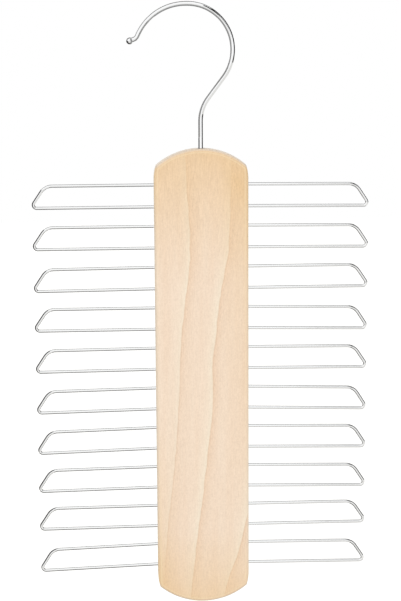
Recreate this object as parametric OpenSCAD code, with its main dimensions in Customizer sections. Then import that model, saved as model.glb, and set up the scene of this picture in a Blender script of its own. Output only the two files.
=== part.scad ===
// Tie hanger: a wooden board with rows of wire arms, hanging from a hook that swivels.
// The origin is where the hook rests on a rail, and +Z points up. The arms reach along X.

/* [Board] */
// Width of the wooden board
board_w = 60; // [50:1:72]
// Thickness of the board
board_t = 12; // [9:0.5:20]
// Radius that softens every edge of the board
edge_r = 2; // [0.5:0.25:3]
// Radius of the arch at the top and the bottom end
arch_r = 44; // [38:1:90]
// Distance from each end at which the sides start to draw in
shoulder_l = 19.5; // [14:0.5:24]
// Wood above the middle of the highest pair of arms
top_margin = 30; // [28:1:60]
// Wood below the middle of the lowest pair of arms
bottom_margin = 32; // [28:1:60]

/* [Arms] */
// Number of arms on each side
arm_count = 10; // [3:1:12]
// Height from one arm to the next
arm_pitch = 26.5; // [20:0.5:40]
// Thickness of the arms' wire
arm_wire = 2; // [1.5:0.1:3]
// Height between the two straight runs of an arm, middle to middle
arm_gap = 14; // [11:0.5:17]
// How far an arm stands out of the board's edge
arm_reach = 77.5; // [50:0.5:110]
// Radius of the upper bend, to the middle of the wire
upper_bend_r = 8.5; // [5:0.5:12]
// Radius of the lower bend at the nose, to the middle of the wire
lower_bend_r = 2.2; // [1.6:0.1:2.6]
// Slope of the nose between the two bends, in degrees from level
nose_slope = 56; // [50:1:66]
// Length of each leg inside the board
leg_depth = 20; // [10:0.5:21]

/* [Droop] */
// Droop of the left arms from the highest down, in degrees
left_droop = [0, 0, 0.5, 0, 0.5, 1, 1.5, 1, 0.5, 2]; // [0:0.5:3]
// Droop of the right arms from the highest down, in degrees
right_droop = [0.5, 0.5, 0, 1, 0.5, 1.5, 1, 1, 0, 0.5]; // [0:0.5:3]

/* [Hook] */
// Thickness of the hook's wire
hook_wire = 3; // [2.5:0.1:4]
// Radius of the round on the neck's side of its top, to the middle of the wire
back_r = 28.5; // [26:0.5:35]
// Radius of the round on the tip's side of its top, to the middle of the wire
front_r = 33; // [26:0.5:38]
// Sideways distance from the swivel axis to the top of the round
hook_offset = 8.5; // [4:0.5:11]
// Straight wire at the top of the round, which rests on the rail
top_l = 1; // [0.5:0.5:4]
// Lean of the neck where it meets the round, in degrees from upright
neck_lean = 37; // [34:1:45]
// Radius of the bend from shank to neck, to the middle of the wire
neck_r = 24; // [10:0.5:28]
// Straight shank between the board and the neck
shank_l = 17; // [10:1:50]
// How far the round runs past its top, in degrees
round_past_top = 65; // [50:1:80]
// Radius of the bend that turns the tip outward, to the middle of the wire
lip_r = 3.5; // [3:0.5:10]
// Angle of that bend
lip_turn = 44; // [30:1:60]
// Straight wire between the round and that bend
lip_start_l = 1; // [0.5:0.5:5]
// Straight wire from that bend to the middle of the ball
lip_l = 3; // [3:0.5:12]
// Thickness of the ball formed on the tip
ball_d = 4.4; // [4.2:0.1:6]

/* [Swivel] */
// Wall of the bush in the board's top end
bush_wall = 0.95; // [0.9:0.05:1.5]
// Length of the bush
bush_l = 20; // [12:1:30]
// Running clearance between shank and bush, all round
shank_clearance = 0.05; // [0.02:0.01:0.1]
// How far the shank's widened foot stands out past the shank, all round
foot_step = 0.6; // [0.3:0.05:0.8]
// Height of that foot
foot_h = 2; // [1.5:0.1:4]
// Up and down play between the foot and the bush
foot_play = 0.1; // [0.05:0.05:0.3]
// Free depth left under the foot
foot_space = 1; // [0.5:0.1:3]

/* [Wire] */
// How much thinner the wire gets where it is bent
bend_thinning = 0.01; // [0.01:0.01:0.05]

/* [Hidden] */
$fn = 96;

wood = [0.93, 0.82, 0.66];
chrome = [0.80, 0.81, 0.83];
steel = [0.58, 0.58, 0.60];
// Degrees from one point of a rounded edge to the next
edge_step = 15;
// How far a cutting shape stands out of what it cuts
overcut = 1;
// How far a bend reaches into the straight runs on either side
bend_overlap = 0.1;

// The hook's heights, from the rail down to the board
round_z = hook_wire / 2 - back_r;
neck_x = hook_offset - top_l / 2 + neck_r * (1 - cos(neck_lean));
neck_l = (back_r * cos(neck_lean) - neck_x) / sin(neck_lean);
neck_h = (back_r + neck_r) * sin(neck_lean) + neck_l * cos(neck_lean);
board_top = round_z - neck_h - shank_l;

// The bush and the bore it is pressed into, which goes on below it for the shank's foot
bush_bore = hook_wire + 2 * shank_clearance;
bush_d = bush_bore + 2 * bush_wall;
bore_depth = bush_l + foot_play + foot_h + foot_space;

// The board's length, and the arm's nose from the board's edge outward
board_l = top_margin + (arm_count - 1) * arm_pitch + bottom_margin;
nose_x = arm_reach - arm_wire / 2 - lower_bend_r;
nose_h = arm_gap - upper_bend_r * (1 - cos(nose_slope)) - lower_bend_r * (1 + cos(nose_slope));
nose_l = nose_h / sin(nose_slope);
upper_run = nose_x - (upper_bend_r - lower_bend_r) * sin(nose_slope) - nose_l * cos(nose_slope);

// Height of arm n's middle, with arm 1 the highest
function arm_z(n) = board_top - top_margin - (n - 1) * arm_pitch;

// Droop of arm n, from a list that starts again where it is too short
function droop_of(list, n) = list[(n - 1) % len(list)];

// A quarter of a rounded edge, from the angle start on, about a centre
function edge_arc(centre, start) =
    [for (a = [start:edge_step:start + 90]) centre + edge_r * [cos(a), sin(a)]];

// The rounded rim of a slab that ends half_w from its middle
function rim(half_w) = concat(
    edge_arc([half_w - edge_r, edge_r - board_t / 2], -90),
    edge_arc([half_w - edge_r, board_t / 2 - edge_r], 0)
);

// A straight run of wire along +X, with what follows it at its end
module run(wire, length) {
    rotate([0, 90, 0]) cylinder(h = length, d = wire);
    translate([length, 0, 0]) children();
}

// A bend of wire in the XZ plane, upward for a positive angle, with what follows it at its end
module bend(wire, radius, angle) {
    centre_z = sign(angle) * radius;
    overlap = asin(bend_overlap / radius);
    translate([0, 0, centre_z])
        rotate([sign(angle) * 90, 0, 0])
            rotate([0, 0, -90 - overlap])
                rotate_extrude(angle = abs(angle) + 2 * overlap)
                    translate([radius, 0]) circle(d = wire - bend_thinning);
    translate([0, 0, centre_z])
        rotate([0, -angle, 0])
            translate([0, 0, -centre_z]) children();
}

// Puts children on the swivel axis, level with the board's top
module at_board_top() {
    translate([hook_offset, 0, board_top]) children();
}

// Puts children at arm n's middle on the left (-1) or right (1) edge, with +X outward
module at_arm(side, n) {
    droop = droop_of(side < 0 ? left_droop : right_droop, n);
    translate([hook_offset + side * board_w / 2, 0, arm_z(n)])
        mirror([side < 0 ? 1 : 0, 0, 0])
            rotate([0, droop, 0]) children();
}

// A round slab with the board's thickness and rounded rim
module disc(radius) {
    rotate([90, 0, 0])
        rotate_extrude()
            polygon(concat([[0, -board_t / 2]], rim(radius), [[0, board_t / 2]]));
}

// The end of the board past its shoulders, with its peak at the origin
module board_end() {
    intersection() {
        translate([0, 0, -shoulder_l]) disc(board_w / 2);
        translate([0, 0, -arch_r]) disc(arch_r);
        translate([-board_w, -board_t, -shoulder_l]) cube([2 * board_w, 2 * board_t, board_w]);
    }
}

// The stretch of the board with straight sides
module board_middle() {
    right_rim = rim(board_w / 2);
    left_rim = [for (p = right_rim) -p];
    translate([0, 0, shoulder_l - board_l])
        linear_extrude(board_l - 2 * shoulder_l) polygon(concat(right_rim, left_rim));
}

// The board in one piece, drilled for the bush and for every leg
module board() {
    color(wood)
        difference() {
            at_board_top() {
                board_end();
                board_middle();
                translate([0, 0, -board_l]) mirror([0, 0, 1]) board_end();
            }
            at_board_top() translate([0, 0, -bore_depth]) cylinder(h = bore_depth + overcut, d = bush_d);
            for (side = [-1, 1], n = [1:arm_count], z = [-arm_gap / 2, arm_gap / 2])
                at_arm(side, n) translate([-leg_depth, 0, z]) run(arm_wire, leg_depth + overcut);
        }
}

// The hook, from its foot in the board up the shank and round to the ball
module hook() {
    color(chrome)
        at_board_top()
            translate([0, 0, -bush_l - foot_play]) {
                translate([0, 0, -foot_h]) cylinder(h = foot_h, d = hook_wire + 2 * foot_step);
                translate([0, 0, -foot_h / 2])
                    rotate([0, -90, 0])
                    run(hook_wire, foot_h / 2 + bush_l + foot_play + shank_l)
                    bend(hook_wire, neck_r, -neck_lean)
                    run(hook_wire, neck_l)
                    bend(hook_wire, back_r, neck_lean + 90)
                    run(hook_wire, top_l)
                    bend(hook_wire, front_r, round_past_top)
                    run(hook_wire, lip_start_l)
                    bend(hook_wire, lip_r, -lip_turn)
                    run(hook_wire, lip_l)
                    sphere(d = ball_d);
            }
}

// The bush, pressed in flush with the board's top
module hook_sleeve() {
    color(steel)
        at_board_top()
            translate([0, 0, -bush_l])
                difference() {
                    cylinder(h = bush_l, d = bush_d);
                    translate([0, 0, -overcut]) cylinder(h = bush_l + 2 * overcut, d = bush_bore);
                }
}

// One arm, from the foot of its upper leg round the nose to the foot of its lower leg
module arm(side, n) {
    color(chrome)
        at_arm(side, n)
            translate([-leg_depth, 0, arm_gap / 2])
                run(arm_wire, leg_depth + upper_run)
                bend(arm_wire, upper_bend_r, -nose_slope)
                run(arm_wire, nose_l)
                bend(arm_wire, lower_bend_r, nose_slope - 180)
                run(arm_wire, nose_x + leg_depth);
}

board();
hook();
hook_sleeve();
for (n = [1:arm_count]) {
    arm(-1, n);
    arm(1, n);
}
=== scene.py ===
# Tie hanger: a wooden board with ten wire arms on each edge, hanging from a chromed swivel hook
import math
import bmesh
import bpy
import numpy as np
from mathutils import Matrix, Vector


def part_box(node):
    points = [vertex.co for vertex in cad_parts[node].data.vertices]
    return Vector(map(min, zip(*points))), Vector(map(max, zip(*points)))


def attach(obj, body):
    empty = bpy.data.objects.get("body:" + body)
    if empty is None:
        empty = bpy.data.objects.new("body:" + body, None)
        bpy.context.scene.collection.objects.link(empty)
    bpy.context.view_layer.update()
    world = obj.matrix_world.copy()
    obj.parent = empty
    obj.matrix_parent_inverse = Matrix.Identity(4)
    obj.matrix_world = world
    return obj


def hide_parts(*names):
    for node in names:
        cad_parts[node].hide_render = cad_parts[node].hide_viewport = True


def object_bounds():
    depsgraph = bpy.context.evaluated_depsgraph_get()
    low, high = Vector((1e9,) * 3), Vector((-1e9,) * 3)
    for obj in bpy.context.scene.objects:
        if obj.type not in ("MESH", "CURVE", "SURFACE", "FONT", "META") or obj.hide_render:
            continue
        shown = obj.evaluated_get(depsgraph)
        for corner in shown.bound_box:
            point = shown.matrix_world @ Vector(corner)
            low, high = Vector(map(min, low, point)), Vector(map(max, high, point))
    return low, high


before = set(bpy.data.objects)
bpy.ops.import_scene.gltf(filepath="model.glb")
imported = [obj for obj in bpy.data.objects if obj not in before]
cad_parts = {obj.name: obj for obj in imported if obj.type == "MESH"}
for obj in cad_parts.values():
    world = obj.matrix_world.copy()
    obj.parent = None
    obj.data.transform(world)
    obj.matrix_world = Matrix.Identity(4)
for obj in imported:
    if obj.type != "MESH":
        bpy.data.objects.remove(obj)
cadLow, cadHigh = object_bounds()
mm = 0.001
white = (1.0, 1.0, 1.0, 1.0)


# Helpers for materials

def srgb(red, green, blue):  # a colour as a screen shows it, 0 to 255, made linear
    parts = [c / 255 for c in (red, green, blue)]
    return tuple(c / 12.92 if c <= 0.04045 else ((c + 0.055) / 1.055) ** 2.4 for c in parts) + (1.0,)


def newMaterial(name):
    material = bpy.data.materials.new(name)
    material.use_nodes = True
    material.node_tree.nodes.clear()
    return material, material.node_tree


def setInput(tree, node, name, value):  # a socket is linked, and anything else is set as the value
    if isinstance(value, bpy.types.NodeSocket):
        tree.links.new(value, node.inputs[name])
    else:
        node.inputs[name].default_value = value


def addNode(tree, kind, settings=None, **inputs):  # an input's name is written with _ for each space
    node = tree.nodes.new(kind)
    for key, value in (settings or {}).items():
        setattr(node, key, value)
    for key, value in inputs.items():
        setInput(tree, node, key.replace("_", " "), value)
    return node


def addShader(tree, **inputs):
    shader = addNode(tree, "ShaderNodeBsdfPrincipled", **inputs)
    addNode(tree, "ShaderNodeOutputMaterial", Surface=shader.outputs[0])


def objectPlace(tree):
    return addNode(tree, "ShaderNodeTexCoord").outputs["Object"]


def maths(tree, operation, *values, clamp=False):
    node = addNode(tree, "ShaderNodeMath", {"operation": operation, "use_clamp": clamp})
    for index, value in enumerate(values):
        setInput(tree, node, index, value)
    return node.outputs[0]


def plus(tree, first, second):
    return maths(tree, "ADD", first, second)


def minus(tree, first, second):
    return maths(tree, "SUBTRACT", first, second)


def times(tree, first, second):
    return maths(tree, "MULTIPLY", first, second)


def bell(tree, value, centre, width):  # exp(-((value - centre) / width)^2)
    offset = maths(tree, "DIVIDE", minus(tree, value, centre), width)
    return maths(tree, "EXPONENT", times(tree, times(tree, offset, offset), -1.0))


def remap(tree, value, low, high, newLow=0.0, newHigh=1.0):  # straight from low to high, held past both
    node = addNode(tree, "ShaderNodeMapRange", {"clamp": True}, Value=value, From_Min=low, From_Max=high,
                   To_Min=newLow, To_Max=newHigh)
    return node.outputs[0]


def spread(tree, noise, low=0.0, high=1.0):  # a noise lies mostly between 0.3 and 0.7
    return remap(tree, noise, 0.3, 0.7, low, high)


def mixColours(tree, factor, first, second, blend="MIX"):
    node = addNode(tree, "ShaderNodeMix", {"data_type": "RGBA", "blend_type": blend})
    for socket, value in ((0, factor), (6, first), (7, second)):  # the factor's and the two colours' sockets
        setInput(tree, node, socket, value)
    return node.outputs[2]


# Helpers for meshes

def placeObject(name, data):
    placed = bpy.data.objects.new(name, data)
    bpy.context.scene.collection.objects.link(placed)
    return placed


def gridFaces(rows, columns, closedAround=False, start=0):  # quads of a rows by columns grid of points
    row = np.arange(rows - 1)[:, None]
    column = np.arange(columns if closedAround else columns - 1)[None, :]
    after = (column + 1) % columns
    corners = [row * columns + column, row * columns + after,
               (row + 1) * columns + after, (row + 1) * columns + column]
    return start + np.stack(np.broadcast_arrays(*corners), axis=-1).reshape(-1, 4)


def smooth(mesh, sharpAngle=40.0):  # smooth all over, but for edges sharper than the angle
    mesh.polygons.foreach_set("use_smooth", [True] * len(mesh.polygons))
    mesh.set_sharp_from_angle(angle=math.radians(sharpAngle))


def makePiece(name, points, faces, material, mergeDistance=0.0001 * mm):  # closed, with its faces outwards
    mesh = bpy.data.meshes.new(name)
    mesh.from_pydata(points.tolist(), [], faces)
    work = bmesh.new()
    work.from_mesh(mesh)
    bmesh.ops.remove_doubles(work, verts=work.verts, dist=mergeDistance)
    bmesh.ops.recalc_face_normals(work, faces=work.faces)
    work.to_mesh(mesh)
    work.free()
    smooth(mesh)
    mesh.materials.append(material)
    return placeObject(name, mesh)


def makeStagePlane(name, corners, material):
    mesh = bpy.data.meshes.new(name)
    mesh.from_pydata(corners, [], [(0, 1, 2, 3)])
    mesh.materials.append(material)
    return placeObject(name, mesh)


# Camera

cameraSetup = {
    "azimuth": -3.02,       # degrees, a little to the left of the board's front
    "elevation": 10.5,      # degrees, from above
    "roll": -0.36,
    "distance": 1.022,      # metres to the point looked at
    "target": (0.0078, 0.0, -0.1869),
    "focalPixels": 1584.7,  # focal length in pixels of a picture 601 pixels high
    "pictureHeight": 601,
    "sensor": 36.0,
}


def makeCamera(setup):  # stands on a sphere round the target and looks at it, turned by the roll
    azimuth, elevation, roll = (math.radians(setup[key]) for key in ("azimuth", "elevation", "roll"))
    back = np.array([math.sin(azimuth) * math.cos(elevation),
                     -math.cos(azimuth) * math.cos(elevation), math.sin(elevation)])
    level = np.cross(-back, [0, 0, 1])
    level /= np.linalg.norm(level)
    upright = np.cross(level, -back)
    matrix = np.eye(4)
    matrix[:3, 0] = math.cos(roll) * level + math.sin(roll) * upright
    matrix[:3, 1] = math.cos(roll) * upright - math.sin(roll) * level
    matrix[:3, 2] = back
    matrix[:3, 3] = np.array(setup["target"]) + setup["distance"] * back
    data = bpy.data.cameras.new("camera")
    data.sensor_fit = "VERTICAL"
    data.sensor_height = setup["sensor"]
    data.lens = setup["sensor"] * setup["focalPixels"] / setup["pictureHeight"]
    camera = placeObject("camera", data)
    camera.matrix_world = Matrix(matrix.tolist())
    bpy.context.scene.camera = camera


makeCamera(cameraSetup)
print("camera set")


# Shared finish: a slow and a fine noise over a surface, each from 0 to 1, for wear and polish

def makeVariationGroup():
    group = bpy.data.node_groups.new("surface variation", "ShaderNodeTree")
    for name, direction, kind in (("Vector", "INPUT", "NodeSocketVector"),
                                  ("Slow Scale", "INPUT", "NodeSocketFloat"),
                                  ("Fine Scale", "INPUT", "NodeSocketFloat"),
                                  ("Slow", "OUTPUT", "NodeSocketFloat"),
                                  ("Fine", "OUTPUT", "NodeSocketFloat")):
        group.interface.new_socket(name=name, in_out=direction, socket_type=kind)
    given = group.nodes.new("NodeGroupInput").outputs
    result = group.nodes.new("NodeGroupOutput")
    for name, detail in (("Slow", 3.0), ("Fine", 2.0)):
        noise = addNode(group, "ShaderNodeTexNoise", Vector=given["Vector"], Scale=given[name + " Scale"],
                        Detail=detail)
        setInput(group, result, name, spread(group, noise.outputs[0]))
    return group


variationGroup = makeVariationGroup()


def placeVariation(tree, vector, slowScale, fineScale):  # scales are a noise's cells to a metre
    node = addNode(tree, "ShaderNodeGroup", {"node_tree": variationGroup}, Vector=vector,
                   Slow_Scale=slowScale, Fine_Scale=fineScale)
    return node.outputs["Slow"], node.outputs["Fine"]


# Board

cadBoardLow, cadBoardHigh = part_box("board")
board = {
    "centreX": (cadBoardLow.x + cadBoardHigh.x) / 2,
    "top": cadBoardHigh.z,
    "halfWidth": (cadBoardHigh.x - cadBoardLow.x) / 2,
    "halfThickness": (cadBoardHigh.y - cadBoardLow.y) / 2,
    "length": cadBoardHigh.z - cadBoardLow.z,
    "archRadius": 44 * mm,
    "shoulder": 19.5 * mm,    # from each end to where the sides draw in
    "edgeRadius": 2 * mm,
    "across": 45,             # points across the board
    "alongEase": 14,          # points along each drawn-in stretch of a side
    "alongSide": 110,         # points along a straight side
    "aroundEdge": 9,          # points round each softened edge
    "growthLines": [          # each line: distance below the top and sideways from the middle, in mm
        [(0, -46), (300, -62)],
        [(0, -10), (28, -9), (51, -7), (73, -7), (90, -9.3), (110, -12), (128, -13.5), (160, -15),
         (195, -17.3), (219, -19.5), (249, -23), (264, -24), (300, -27)],
        [(0, 19.5), (45, 18.5), (69, 17), (82, 13.8), (98, 11.1), (123, 8.8), (134, 7.2), (163, 6.8),
         (189, 4.5), (213, 1.5), (235, -1.2), (265, -4.7), (293, -8.2), (300, -9)],
        [(0, 56), (235, 30), (245, 28.4), (263, 23.7), (274, 21), (283, 17), (293, 14), (300, 12)],
        [(0, 90), (300, 48)],
    ],
    "lineReadings": (-20.0, 320.0, 2.0),  # from, to and step, in mm below the top
    "lineBlur": 7,            # readings averaged to round a growth line's corners
    "slant": 0.4,             # how far a growth line moves sideways for each millimetre of thickness
    "rimReach": 18 * mm,      # how far from the outline the distance to it is kept
}

bore = {"radius": 2.5 * mm, "depth": 23.1 * mm, "overcut": 2 * mm, "sides": 24}


def boardSide(setup, inset):  # the right side, upwards: an arc that draws out, a straight run, an arc again
    half = setup["halfWidth"] - inset
    arch = setup["archRadius"] - inset
    span = setup["archRadius"] - setup["shoulder"]
    cornerZ = (arch ** 2 - half ** 2 - setup["archRadius"] ** 2 + setup["shoulder"] ** 2) / (2 * span)
    reach = math.asin((cornerZ + setup["shoulder"]) / half)
    angles = np.linspace(0, reach, setup["alongEase"])
    ease = np.stack([half * np.cos(angles), half * np.sin(angles) - setup["shoulder"]], axis=1)
    straightZ = np.linspace(setup["shoulder"] - setup["length"], -setup["shoulder"], setup["alongSide"])[1:-1]
    straight = np.stack([np.full_like(straightZ, half), straightZ], axis=1)
    lower = ease[::-1] * [1, -1] - [0, setup["length"]]
    return np.concatenate([lower, straight, ease])


def boardArch(setup, inset, cornerX):  # top end from left to right: an arc of the arch's circle
    arch = setup["archRadius"] - inset
    angles = np.linspace(-1, 1, setup["across"]) * math.asin(cornerX / arch)
    return np.stack([arch * np.sin(angles), arch * np.cos(angles) - setup["archRadius"]], axis=1)


def boardOutline(setup, inset):  # bottom, right, top and left curves, as (x, z) below the top's middle
    right = boardSide(setup, inset)
    top = boardArch(setup, inset, right[-1, 0])
    left = right * [-1, 1]
    bottom = top * [1, -1] - [0, setup["length"]]
    return bottom, right, top, left


def boardFace(setup, inset):  # Coons patch: the surface blended straight between the outline's four curves
    bottom, right, top, left = boardOutline(setup, inset)
    s = np.linspace(0, 1, len(bottom))[None, :, None]
    t = ((right[:, 1] - right[0, 1]) / (right[-1, 1] - right[0, 1]))[:, None, None]
    across = (1 - t) * bottom[None] + t * top[None]
    along = (1 - s) * left[:, None] + s * right[:, None]
    corners = (1 - t) * ((1 - s) * bottom[0] + s * bottom[-1]) + t * ((1 - s) * top[0] + s * top[-1])
    return across + along - corners


def boardMesh(setup):  # two flat faces, and rings of the outline that carry a rounded rim from front to back
    edge, deep = setup["edgeRadius"], setup["halfThickness"]
    angles = np.linspace(0, math.pi / 2, setup["aroundEdge"])
    insets = edge * (1 - np.sin(angles))
    depths = edge * (1 - np.cos(angles)) - deep
    rings = []
    for inset, depth in zip([*insets, *insets[::-1]], [*depths, *-depths[::-1]]):
        bottom, right, top, left = boardOutline(setup, inset)
        loop = np.concatenate([bottom[:-1], right[:-1], top[::-1][:-1], left[::-1][:-1]])
        rings.append(np.stack([loop[:, 0], np.full(len(loop), depth), loop[:, 1]], axis=1))
    points = [np.concatenate(rings)]
    faces = [gridFaces(len(rings), len(rings[0]), closedAround=True)]
    patch = boardFace(setup, edge)
    rows, columns = patch.shape[:2]
    flat = patch.reshape(-1, 2)
    for depth in (-deep, deep):
        faces.append(gridFaces(rows, columns, start=sum(len(part) for part in points)))
        points.append(np.stack([flat[:, 0], np.full(len(flat), depth), flat[:, 1]], axis=1))
    return np.concatenate(points) + [setup["centreX"], 0, setup["top"]], np.concatenate(faces).tolist()


def growthPhase(setup, x, y, z):  # n at growth line n, straight in between, and the width between those lines
    depths = np.arange(*setup["lineReadings"])
    blur = setup["lineBlur"]
    lines = []
    for line in setup["growthLines"]:
        below, sideways = np.array(line, dtype=float).T
        curve = np.pad(np.interp(depths, below, sideways), blur // 2, mode="edge")
        curve = np.convolve(curve, np.ones(blur) / blur, mode="valid")
        lines.append(mm * np.interp(-z / mm, depths, curve))
    lines = np.array(lines)
    x = x - setup["slant"] * (y + setup["halfThickness"])
    number = np.clip((lines <= x).sum(axis=0) - 1, 0, len(lines) - 2)
    low = np.take_along_axis(lines, number[None], axis=0)[0]
    width = np.take_along_axis(lines, number[None] + 1, axis=0)[0] - low
    return number + (x - low) / width, width


def boardMarks(setup, points):  # what the wood material needs to know at each point, from the point's place
    x, y, z = (points - [setup["centreX"], 0, setup["top"]]).T
    edge, half = setup["edgeRadius"], setup["length"] / 2
    phase, width = growthPhase(setup, x, y, z)
    pastArchCentre = np.abs(z + half) - half + setup["archRadius"]
    archGap = setup["archRadius"] - np.hypot(x, np.maximum(pastArchCentre, 0))
    archGap = np.where(pastArchCentre > 0, archGap, setup["rimReach"])
    sideGap = setup["halfWidth"] - np.abs(x)

    # End grain, with its painted sheen, is whole up to a quarter of the rounding and gone at three quarters,
    # and the painted highlight on the sides fades over all of it.
    endGrainSheen = 1 - np.clip(2 * archGap / edge - 0.5, 0, 1)
    sideHighlight = (1 - np.clip(sideGap / edge, 0, 1)) * (1 - endGrainSheen)
    return {"growth": phase, "growthWidth": width, "endGrainSheen": endGrainSheen, "sideHighlight": sideHighlight,
            "fromRim": np.clip(np.minimum(archGap, sideGap), 0, setup["rimReach"])}


def setMarks(mesh, marks):
    for key, values in marks.items():
        layer = mesh.attributes.new(key, "FLOAT", "POINT")
        layer.data.foreach_set("value", np.asarray(values, dtype=np.float32))


def meshPoints(mesh):
    flat = np.empty(3 * len(mesh.vertices))
    mesh.vertices.foreach_get("co", flat)
    return flat.reshape(-1, 3)


def drill(piece, holes, sides):  # cuts round holes: each is a start, a direction, a radius and a depth
    work = bmesh.new()
    for start, direction, radius, depth in holes:
        axis = Vector(direction).normalized()
        turn = axis.to_track_quat("Z", "Y").to_matrix().to_4x4()
        place = Matrix.Translation(Vector(start) + axis * depth / 2) @ turn
        bmesh.ops.create_cone(work, cap_ends=True, segments=sides, radius1=radius, radius2=radius,
                              depth=depth, matrix=place)
    mesh = bpy.data.meshes.new("drills")
    work.to_mesh(mesh)
    work.free()
    cutter = placeObject("drills", mesh)
    cut = piece.modifiers.new("holes", "BOOLEAN")
    cut.object, cut.operation, cut.solver = cutter, "DIFFERENCE", "EXACT"
    bpy.context.view_layer.update()
    solid = bpy.data.meshes.new_from_object(piece.evaluated_get(bpy.context.evaluated_depsgraph_get()))
    piece.modifiers.clear()
    piece.data = solid
    bpy.data.objects.remove(cutter)
    bpy.data.meshes.remove(mesh)


# Wood

woodLook = {
    "base": srgb(251, 229, 206),
    "pale": srgb(252, 236, 213),
    "tan": srgb(245, 215, 186),
    "warm": srgb(240, 204, 156),
    "line": srgb(222, 187, 152),
    # painted highlight along the edge, where the rounding starts
    "rimHighlight": srgb(250, 228, 188),
    # the end grain's colour, partly real pores and partly painted sheen that makes the upward-facing top
    # paler and greyer
    "endGrainSheen": srgb(230, 219, 205),
    # painted highlight on the rounded sides
    "sideHighlight": srgb(241, 223, 199),
    # the same painted highlight where the wood is warm
    "sideGold": srgb(238, 209, 165),
    "fibreScale": (1400.0, 1400.0, 190.0),    # a noise's cells to a metre: across, through and along
    "fleckScale": (1500.0, 1500.0, 380.0),
    "mottleScale": (1100.0, 1100.0, 1000.0),
    "stepScale": (40.0, 40.0, 95.0),
    "streakScale": (170.0, 170.0, 10.0),
    "variationScales": (25.0, 1800.0),
    "streakWander": 1.6 * mm,     # how far the streaks and the steps push a growth line aside
    "stepWander": 1.8 * mm,
    "paleReach": 9.0 * mm,        # how far the pale band reaches to the left of a growth line
    "paleCore": 1.0 * mm,         # how much of that is at full strength
    "tanReach": 9.0 * mm,         # how far the tan band reaches to its right
    "bands": 0.9,                 # strength of both bands
    "fadedBands": 0.5,            # what they lose beside the left line in the lower half
    "fadeStretch": (0.3, 0.6),    # where that sets in, in board lengths below the top
    "lineWidth": 0.35 * mm,
    "lineStrength": 0.4,
    "streaks": 0.35,              # how far a full streak turns tan
    "streakRange": (0.35, 0.65),  # values of the noise, from no streak to a full one
    "topStretch": (0.30, 0.0),    # where the wood turns warm, from not at all to fully, in board lengths
    "bottomStretch": (0.83, 1.0),
    "rightStretch": (0.9, 0.2),
    "leftStretch": (0.6, 0.9),
    "rightSide": (0.3, 1.0),      # the same across the board, in half widths from its middle
    "leftSide": (-0.5, -1.0),
    "topEase": 1.4,               # powers that hold the warmth back until close to the end
    "bottomEase": 1.2,
    "warmBottom": 0.8,            # how warm each place gets, next to the top's 1
    "warmRight": 0.5,
    "warmLeft": 0.4,
    "patchiness": 0.2,            # how much of the warmth comes and goes in patches
    "fibres": 0.045,              # how much lighter or darker than the wood
    "fibresAlong": (0.9, 1.4),    # shares of that, low down and near the top
    "mottle": 0.032,
    "flecks": (0.05, 0.11),       # how much darker, in plain wood and in the tan bands
    "fleckRange": (0.45, 0.75),   # values of the noise, from no fleck to a full one
    "warmShade": 0.15,            # how much less the red and how much more the blue follows those shades
    "rimHighlightAt": 1.1,               # where the painted highlight line runs, in edge radii in from the outline
    "rimHighlightWidth": 0.3 * mm,
    "rimHighlightStrength": 0.6,
    # how strongly the painted side highlight and the end grain with its painted sheen are laid on
    "rimStrength": 0.8,
    "roughness": (0.36, 0.48),
    "bump": 0.03,
    "bumpDepth": 0.2 * mm,
    "lacquer": 0.2,
    "lacquerRoughness": 0.28,
}


def woodNoise(tree, place, scale, detail, roughness=0.5):
    stretched = addNode(tree, "ShaderNodeMapping", Vector=place, Scale=scale).outputs[0]
    return addNode(tree, "ShaderNodeTexNoise", Vector=stretched, Scale=1.0, Detail=detail,
                   Roughness=roughness).outputs[0]


def boardMark(tree, name):
    return addNode(tree, "ShaderNodeAttribute", {"attribute_name": name}).outputs["Fac"]


def scaled(values, size):
    return [value * size for value in values]


def growthBands(tree, look, setup, place, depth):
    # Each growth line has a pale band that ends at it, and a tan band that starts at it. Both fade away from
    # it as a square does, and streaks and steps push the line aside.
    streak = woodNoise(tree, place, look["streakScale"], 3.0)
    step = woodNoise(tree, place, look["stepScale"], 3.0)
    wander = plus(tree, times(tree, minus(tree, streak, 0.5), look["streakWander"]),
                  times(tree, minus(tree, step, 0.5), look["stepWander"]))
    width = boardMark(tree, "growthWidth")
    phase = plus(tree, boardMark(tree, "growth"), maths(tree, "DIVIDE", wander, width))
    past = times(tree, maths(tree, "FRACT", phase), width)
    ahead = minus(tree, width, past)
    pale = remap(tree, ahead, look["paleReach"], look["paleCore"])
    pale = times(tree, pale, pale)
    tan = remap(tree, past, look["tanReach"], 0.0)
    tan = times(tree, tan, tan)
    line = bell(tree, maths(tree, "MINIMUM", past, ahead), 0.0, look["lineWidth"])

    # The bands beside line 1, the left one, are fainter in the lower half.
    besideLeft = maths(tree, "LESS_THAN", maths(tree, "ABSOLUTE", minus(tree, phase, 1.0)), 0.5)
    lower = remap(tree, depth, *scaled(look["fadeStretch"], setup["length"]))
    faded = times(tree, times(tree, besideLeft, lower), look["fadedBands"])
    strength = minus(tree, look["bands"], faded)

    streaks = times(tree, remap(tree, streak, *look["streakRange"]), look["streaks"])
    colour = mixColours(tree, streaks, look["base"], look["tan"])
    colour = mixColours(tree, times(tree, pale, strength), colour, look["pale"])
    colour = mixColours(tree, times(tree, tan, strength), colour, look["tan"])
    colour = mixColours(tree, times(tree, line, look["lineStrength"]), colour, look["line"])
    return colour, tan


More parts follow.
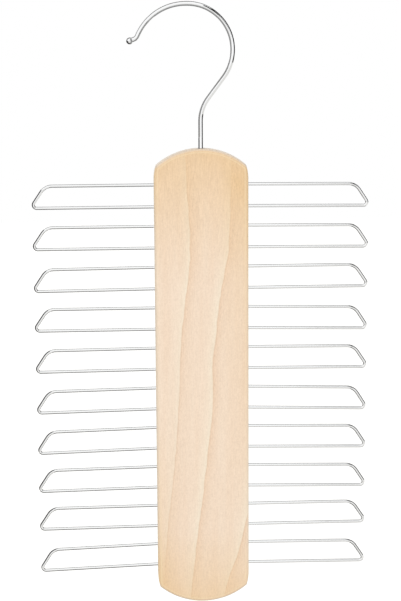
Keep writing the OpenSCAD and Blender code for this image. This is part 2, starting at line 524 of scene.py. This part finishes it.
def edgeWarmth(tree, look, setup, sideways, depth, nearTop, slow):
    # The ends are warmer, and so are the right edge in the upper part and the left edge lower down.
    length, half = setup["length"], setup["halfWidth"]
    nearBottom = remap(tree, depth, *scaled(look["bottomStretch"], length))
    nearBottom = times(tree, maths(tree, "POWER", nearBottom, look["bottomEase"]), look["warmBottom"])
    nearRight = times(tree, remap(tree, sideways, *scaled(look["rightSide"], half)),
                      remap(tree, depth, *scaled(look["rightStretch"], length)))
    nearLeft = times(tree, remap(tree, sideways, *scaled(look["leftSide"], half)),
                     remap(tree, depth, *scaled(look["leftStretch"], length)))
    nearSides = plus(tree, times(tree, nearRight, look["warmRight"]), times(tree, nearLeft, look["warmLeft"]))
    warmth = maths(tree, "ADD", maths(tree, "MAXIMUM", nearTop, nearBottom), nearSides, clamp=True)
    return times(tree, warmth, remap(tree, slow, 0.0, 1.0, 1 - look["patchiness"], 1.0))


def woodShades(tree, look, place, fibre, nearTop, tan):
    # Fine fibres all over, strongest at the top, a fine mottle, and short darker flecks, most of all in the
    # tan bands. The blue follows them more than the red does.
    fleck = woodNoise(tree, place, look["fleckScale"], 2.0)
    mottle = woodNoise(tree, place, look["mottleScale"], 1.0)
    fibres = times(tree, spread(tree, fibre, -look["fibres"], look["fibres"]),
                   remap(tree, nearTop, 0.0, 0.5, *look["fibresAlong"]))
    mottled = spread(tree, mottle, -look["mottle"], look["mottle"])
    flecks = times(tree, remap(tree, fleck, *look["fleckRange"]), remap(tree, tan, 0.0, 0.6, *look["flecks"]))
    shade = minus(tree, plus(tree, plus(tree, fibres, 1.0), mottled), flecks)
    shades = addNode(tree, "ShaderNodeCombineColor", Green=shade,
                     Red=maths(tree, "POWER", shade, 1 - look["warmShade"]),
                     Blue=maths(tree, "POWER", shade, 1 + look["warmShade"]))
    return shades.outputs[0]


def woodRim(tree, look, setup, colour, warmth, fine):
    # A painted highlight line where the rounding starts, a painted highlight round the rounded sides, and
    # open grain at the ends, painted paler as sheen on the top that faces up
    line = bell(tree, boardMark(tree, "fromRim"), setup["edgeRadius"] * look["rimHighlightAt"], look["rimHighlightWidth"])
    line = times(tree, line, remap(tree, warmth, 0.0, 0.6, 0.0, look["rimHighlightStrength"]))
    colour = mixColours(tree, line, colour, look["rimHighlight"])
    side = mixColours(tree, remap(tree, warmth, 0.1, 0.7), look["sideHighlight"], look["sideGold"])
    colour = mixColours(tree, times(tree, boardMark(tree, "sideHighlight"), look["rimStrength"]), colour, side)
    # real end-grain pores, laid on with the painted sheen of the top
    pores = times(tree, boardMark(tree, "endGrainSheen"), remap(tree, fine, 0.2, 0.8, 0.6, 1.0))
    return mixColours(tree, times(tree, pores, look["rimStrength"]), colour, look["endGrainSheen"])


def makeWood(look, setup):
    material, tree = newMaterial("beech, satin lacquer")
    place = objectPlace(tree)
    separate = addNode(tree, "ShaderNodeSeparateXYZ", Vector=place).outputs
    sideways = minus(tree, separate["X"], setup["centreX"])
    depth = minus(tree, setup["top"], separate["Z"])
    slow, fine = placeVariation(tree, place, *look["variationScales"])
    fibre = woodNoise(tree, place, look["fibreScale"], 3.0, 0.6)
    nearTop = remap(tree, depth, *scaled(look["topStretch"], setup["length"]))
    nearTop = maths(tree, "POWER", nearTop, look["topEase"])

    colour, tan = growthBands(tree, look, setup, place, depth)
    warmth = edgeWarmth(tree, look, setup, sideways, depth, nearTop, slow)
    colour = mixColours(tree, warmth, colour, look["warm"])
    colour = mixColours(tree, 1.0, colour, woodShades(tree, look, place, fibre, nearTop, tan), "MULTIPLY")
    colour = woodRim(tree, look, setup, colour, warmth, fine)

    bump = addNode(tree, "ShaderNodeBump", Strength=look["bump"], Distance=look["bumpDepth"], Height=fibre)
    addShader(tree, Base_Color=colour, Roughness=remap(tree, fibre, 0.2, 0.8, *look["roughness"]),
              Normal=bump.outputs[0], Coat_Weight=look["lacquer"], Coat_Roughness=look["lacquerRoughness"])
    return material


# Arms' places, and the holes they stand in

arm = {
    "wire": 2 * mm,
    "gap": 14 * mm,             # between the two straight runs
    "reach": 77.5 * mm,
    "upperBend": 8.5 * mm,
    "lowerBend": 2.2 * mm,
    "noseSlope": 56.0,
    "legDepth": 20 * mm,
    "pitch": 26.5 * mm,
    "topMargin": 30 * mm,       # from the board's top to the highest pair
    "sides": 24,
    "leftDroop": [0, 0, 0.5, 0, 0.5, 1, 1.5, 1, 0.5, 2],     # degrees, from the highest arm down
    "rightDroop": [0.5, 0.5, 0, 1, 0.5, 1.5, 1, 1, 0, 0.5],
}


def eachArm(setup):  # side, number and droop: the left arms first, and from the highest down
    for side, droops in ((-1, setup["leftDroop"]), (1, setup["rightDroop"])):
        for number, droop in enumerate(droops, start=1):
            yield side, number, droop


def armPlace(setup, side, number, droop, outward, upward):
    # x and z of a place given from the board's edge, at the arm's own height and turned down by its droop
    turn = math.radians(droop)
    drooped = outward * math.cos(turn) + upward * math.sin(turn)
    height = board["top"] - setup["topMargin"] - (number - 1) * setup["pitch"]
    return (board["centreX"] + side * (board["halfWidth"] + drooped),
            height + upward * math.cos(turn) - outward * math.sin(turn))


def boardHoles(setup, bore):  # the bore for the bush and the shank's foot, and a hole for each leg
    bottom = board["top"] - bore["depth"]
    holes = [((board["centreX"], 0, bottom), (0, 0, 1), bore["radius"], bore["depth"] + bore["overcut"])]
    for side, number, droop in eachArm(setup):
        turn = math.radians(droop)
        for leg in (-setup["gap"] / 2, setup["gap"] / 2):
            x, z = armPlace(setup, side, number, droop, -setup["legDepth"], leg)
            holes.append(((x, 0, z), (side * math.cos(turn), 0, -math.sin(turn)), setup["wire"] / 2,
                          setup["legDepth"] + bore["overcut"]))
    return holes


wood = makeWood(woodLook, board)
boardPiece = makePiece("boardSolid", *boardMesh(board), wood)
drill(boardPiece, boardHoles(arm, bore), bore["sides"])
setMarks(boardPiece.data, boardMarks(board, meshPoints(boardPiece.data)))
smooth(boardPiece.data)
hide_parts("board")
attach(boardPiece, "hanger")
print("board made")


# Chromed wire

chromeLook = {
    "colour": (0.95, 0.955, 0.96, 1.0),
    "roughness": (0.03, 0.07),
    "variationScales": (60.0, 2500.0),
    "slowShare": 0.7,           # of the roughness, and the rest of it follows the fine noise
    "bump": 0.02,
    "bumpDepth": 0.05 * mm,
}

wireSteps = {"run": 3 * mm, "bend": 4.0}  # about how far it is, or how many degrees, from ring to ring


def makeChrome(name, look):
    material, tree = newMaterial(name)
    slow, fine = placeVariation(tree, objectPlace(tree), *look["variationScales"])
    polish = plus(tree, times(tree, slow, look["slowShare"]), times(tree, fine, 1 - look["slowShare"]))
    bump = addNode(tree, "ShaderNodeBump", Strength=look["bump"], Distance=look["bumpDepth"], Height=fine)
    addShader(tree, Base_Color=look["colour"], Metallic=1.0, Normal=bump.outputs[0],
              Roughness=remap(tree, polish, 0.2, 0.9, *look["roughness"]))
    return material


def wirePath(start, heading, steps):
    # The wire's middle line in the XZ plane. A run goes straight on for its length. A bend turns about a
    # centre at its radius, to the left for a positive angle.
    place = np.array(start, dtype=float)
    points, headings = [place[None]], [np.array([heading])]
    for kind, *sizes in steps:
        direction = math.radians(heading)
        if kind == "run":
            count = max(2, math.ceil(sizes[0] / wireSteps["run"]))
            along = np.linspace(0, sizes[0], count)[1:, None]
            stretch = place + along * [math.cos(direction), math.sin(direction)]
            turned = np.full(len(stretch), heading)
        else:
            radius, angle = sizes
            side = math.copysign(radius, angle)
            centre = place + side * np.array([-math.sin(direction), math.cos(direction)])
            turned = heading + np.linspace(0, angle, max(3, math.ceil(abs(angle) / wireSteps["bend"])))[1:]
            turns = np.radians(turned)
            stretch = centre - side * np.stack([-np.sin(turns), np.cos(turns)], axis=1)
            heading += angle
        points.append(stretch)
        headings.append(turned)
        place = stretch[-1]
    return np.concatenate(points), np.radians(np.concatenate(headings))


def sweptWire(path, headings, radii, sides):
    # A circle carried along the path: middle + radius * (cos(turn) * sideways + sin(turn) * Y), closed by a
    # face at each end
    sideways = np.stack([-np.sin(headings), np.zeros(len(path)), np.cos(headings)], axis=1)
    turns = np.linspace(0, 2 * math.pi, sides, endpoint=False)
    circle = (np.cos(turns)[None, :, None] * sideways[:, None]
              + np.sin(turns)[None, :, None] * np.array([0.0, 1.0, 0.0]))
    middle = np.stack([path[:, 0], np.zeros(len(path)), path[:, 1]], axis=1)
    points = (middle[:, None] + np.asarray(radii)[:, None, None] * circle).reshape(-1, 3)
    ring = list(range(sides))
    last = len(points) - sides
    faces = gridFaces(len(path), sides, closedAround=True).tolist()
    return points, [*faces, ring[::-1], [last + index for index in ring]]


def armPath(setup):  # from the upper leg's foot round the nose to the lower leg's, with the edge at x = 0
    slope = math.radians(setup["noseSlope"])
    upper, lower = setup["upperBend"], setup["lowerBend"]
    noseX = setup["reach"] - setup["wire"] / 2 - lower
    noseHeight = setup["gap"] - upper * (1 - math.cos(slope)) - lower * (1 + math.cos(slope))
    noseLength = noseHeight / math.sin(slope)
    upperRun = noseX - (upper - lower) * math.sin(slope) - noseLength * math.cos(slope)
    return wirePath((-setup["legDepth"], setup["gap"] / 2), 0.0, [
        ("run", setup["legDepth"] + upperRun),
        ("bend", upper, -setup["noseSlope"]),
        ("run", noseLength),
        ("bend", lower, setup["noseSlope"] - 180),
        ("run", noseX + setup["legDepth"]),
    ])


def makeArm(setup, side, number, droop, material):
    path, headings = armPath(setup)
    points, faces = sweptWire(path, headings, np.full(len(path), setup["wire"] / 2), setup["sides"])
    x, z = armPlace(setup, side, number, droop, points[:, 0], points[:, 2])
    placed = np.stack([x, points[:, 1], z], axis=1)
    word = "left" if side < 0 else "right"
    piece = makePiece(f"{word}ArmWire{number}", placed, faces, material)
    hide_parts(f"{word}_arm_{number}")
    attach(piece, "hanger")


armChrome = makeChrome("arm chrome", chromeLook)
for side, number, droop in eachArm(arm):
    makeArm(arm, side, number, droop, armChrome)
print("arms made")


# Hook

hook = {
    "wire": 3 * mm,
    "backRadius": 28.5 * mm,    # of the round, to the middle of the wire, on the neck's side of its top
    "frontRadius": 33 * mm,
    "topRun": 1 * mm,
    "offset": 8.5 * mm,         # from the swivel axis to the top of the round
    "neckLean": 37.0,
    "neckRadius": 24 * mm,
    "roundPastTop": 65.0,
    "lipStart": 1 * mm,
    "lipRadius": 3.5 * mm,
    "lipTurn": 44.0,
    "lipLength": 3 * mm,
    "ball": 4.4 * mm,
    "ballEnd": 176.0,           # degrees from the wire to the small flat that closes the ball
    "ballRings": 18,
    "bush": 20 * mm,
    "footPlay": 0.1 * mm,
    "footHeight": 2 * mm,
    "foot": 4.2 * mm,
    "shank": 17 * mm,
    "sides": 32,
}


def makeHook(setup, material):
    lean = math.radians(setup["neckLean"])
    neckX = setup["offset"] - setup["topRun"] / 2 + setup["neckRadius"] * (1 - math.cos(lean))
    neck = (setup["backRadius"] * math.cos(lean) - neckX) / math.sin(lean)
    buried = setup["bush"] + setup["footPlay"]
    wire, ball, foot = setup["wire"] / 2, setup["ball"] / 2, setup["foot"] / 2
    path, headings = wirePath((board["centreX"], board["top"] - buried), 90.0, [
        ("run", buried + setup["shank"]),
        ("bend", setup["neckRadius"], -setup["neckLean"]),
        ("run", neck),
        ("bend", setup["backRadius"], setup["neckLean"] + 90),
        ("run", setup["topRun"]),
        ("bend", setup["frontRadius"], setup["roundPastTop"]),
        ("run", setup["lipStart"]),
        ("bend", setup["lipRadius"], -setup["lipTurn"]),
        ("run", setup["lipLength"] - math.sqrt(ball ** 2 - wire ** 2)),
    ])
    radii = np.full(len(path), wire)

    # The foot below the shank, and the ball: radius = ball * sin(turn), ball * cos(turn) from its middle
    footPath = path[0] - [[0, setup["footHeight"]], [0, 0]]
    turns = np.linspace(math.asin(wire / ball), math.radians(setup["ballEnd"]), setup["ballRings"])
    heading = headings[-1]
    along = ball * (math.cos(turns[0]) - np.cos(turns))
    ballPath = path[-1] + np.outer(along, [math.cos(heading), math.sin(heading)])
    path = np.concatenate([footPath, path, ballPath[1:]])
    headings = np.concatenate([headings[:1], headings[:1], headings, np.full(len(turns) - 1, heading)])
    radii = np.concatenate([[foot, foot], radii, ball * np.sin(turns[1:])])
    points, faces = sweptWire(path, headings, radii, setup["sides"])
    piece = makePiece("hookWire", points, faces, material)
    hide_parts("hook")
    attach(piece, "hook")


hookChrome = makeChrome("hook chrome", chromeLook)
makeHook(hook, hookChrome)
print("hook made")


# Bush

steelLook = {
    "tone": (0.30, 0.40),
    "bluer": 1.03,
    "roughness": (0.28, 0.42),
    "variationScales": (200.0, 3500.0),
}


def makeSteel(look):
    material, tree = newMaterial("bush steel")
    slow, fine = placeVariation(tree, objectPlace(tree), *look["variationScales"])
    tone = remap(tree, slow, 0.0, 1.0, *look["tone"])
    colour = addNode(tree, "ShaderNodeCombineColor", Red=tone, Green=tone,
                     Blue=times(tree, tone, look["bluer"]))
    addShader(tree, Base_Color=colour.outputs[0], Metallic=1.0,
              Roughness=remap(tree, fine, 0.0, 1.0, *look["roughness"]))
    return material


steel = makeSteel(steelLook)
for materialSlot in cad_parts["hook_sleeve"].material_slots:
    materialSlot.material = steel
print("bush finished")


# Studio

studio = {
    "floorHeight": cadLow.z - 0.55,
    "floorSize": 12.0,
    "floorColour": srgb(236, 235, 232),
    "roughness": 0.9,
    "whiteLift": 0.4,           # glow that brings the floor to white for the camera alone
    "worldLight": 0.86,
}

lamps = {  # name: place, width and height, and power in watts, each aimed at the board's middle
    "keyLamp": ((-0.9, -1.5, 0.9), (1.1, 1.1), 6.0),
    "fillLamp": ((1.3, -1.1, 0.2), (0.9, 1.2), 2.0),
}

cards = {  # name: middle, two half sides and how light it is
    "cardRight": ((0.9, 0.25, 0.5), (0, 0.85, 0), (0, 0, 0.8), 0.01),
    "cardLeft": ((-0.9, 0.3, -0.6), (0, 0.8, 0), (0, 0, 0.65), 0.02),
    "cardBelowLeft": ((-0.33, 0.4, -0.9), (0.37, 0, 0), (0, 0.85, 0), 0.02),
    "cardBelowRight": ((0.37, 0.65, -0.9), (0.33, 0, 0), (0, 0.65, 0), 0.05),
    "cardAboveLeft": ((-0.33, 0.42, 0.6), (0.38, 0, 0), (0, 0.5, 0), 0.25),
    "cardUpperLeft": ((-0.805, 0.42, 0.325), (0.095, 0, 0.275), (0, 0.5, 0), 0.25),
    "cardAboveRight": ((0.375, 0.6, 0.6), (0.325, 0, 0), (0, 0.55, 0), 0.08),
    "cardNoses": ((-0.2, 0.06, -0.2), (0, 0.21, 0), (0, 0, 0.16), 0.03),
    "cardFront": ((1.175, -1.2, 1.725), (0.3, 0, -0.2), (0.625, 0, 1.475), 0.01),
    "cardCorner": ((0.3, -1.2, 0.275), (0.04, 0, -0.04), (0.083, 0, 0.116), 0.01),
    "cardInHookLevel": ((-0.002, -0.013, -0.03), (0.009, 0, 0), (0, 0.023, 0), 0.34),
    "cardInHookUpright": ((-0.012, -0.013, -0.052), (0, 0.023, 0), (0, 0, 0.032), 0.34),
}


def makeWorld(setup):  # white to the camera and in the metal, and a little weaker as light
    world = bpy.data.worlds.new("studio")
    world.use_nodes = True
    tree = world.node_tree
    tree.nodes.clear()
    seen = addNode(tree, "ShaderNodeLightPath").outputs
    direct = maths(tree, "ADD", seen["Is Camera Ray"], seen["Is Glossy Ray"], clamp=True)
    mixed = addNode(tree, "ShaderNodeMixShader")
    setInput(tree, mixed, 0, direct)
    for socket, strength in ((1, setup["worldLight"]), (2, 1.0)):
        light = addNode(tree, "ShaderNodeBackground", Color=white, Strength=strength)
        setInput(tree, mixed, socket, light.outputs[0])
    addNode(tree, "ShaderNodeOutputWorld", Surface=mixed.outputs[0])
    bpy.context.scene.world = world


def makeFloor(setup):
    material, tree = newMaterial("studio floor")
    seen = addNode(tree, "ShaderNodeLightPath").outputs["Is Camera Ray"]
    addShader(tree, Base_Color=setup["floorColour"], Roughness=setup["roughness"], Emission_Color=white,
              Emission_Strength=times(tree, seen, setup["whiteLift"]))
    half, z = setup["floorSize"] / 2, setup["floorHeight"]
    corners = [(-half, -half, z), (half, -half, z), (half, half, z), (-half, half, z)]
    floor = makeStagePlane("studioFloor", corners, material)


def makeCard(name, middle, across, along, light):  # seen only in the metal, as a photographer's card is
    material, tree = newMaterial(name)
    addShader(tree, Base_Color=(light, light, light, 1), Roughness=studio["roughness"])
    middle, across, along = (np.array(v) for v in (middle, across, along))
    corners = [middle + a * across + b * along for a, b in ((-1, -1), (1, -1), (1, 1), (-1, 1))]
    card = makeStagePlane(name, np.array(corners).tolist(), material)
    card.visible_camera = False
    card.visible_diffuse = False
    card.visible_shadow = False


def makeLamp(name, target, place, size, power):
    data = bpy.data.lights.new(name, "AREA")
    data.shape = "RECTANGLE"
    data.size, data.size_y = size
    data.energy = power
    away = np.array(place) - np.array(target)
    away /= np.linalg.norm(away)
    across = np.cross([0, 0, 1], away)
    across /= np.linalg.norm(across)
    matrix = np.eye(4)
    matrix[:3] = np.stack([across, np.cross(away, across), away, place], axis=1)
    lamp = placeObject(name, data)
    lamp.matrix_world = Matrix(matrix.tolist())
    lamp.visible_glossy = False


makeWorld(studio)
makeFloor(studio)
for name, card in cards.items():
    makeCard(name, *card)
boardMiddle = (board["centreX"], 0.0, board["top"] - board["length"] / 2)
for name, lamp in lamps.items():
    makeLamp(name, boardMiddle, *lamp)
print("studio made")

scene = bpy.context.scene
scene.view_settings.view_transform = "Standard"
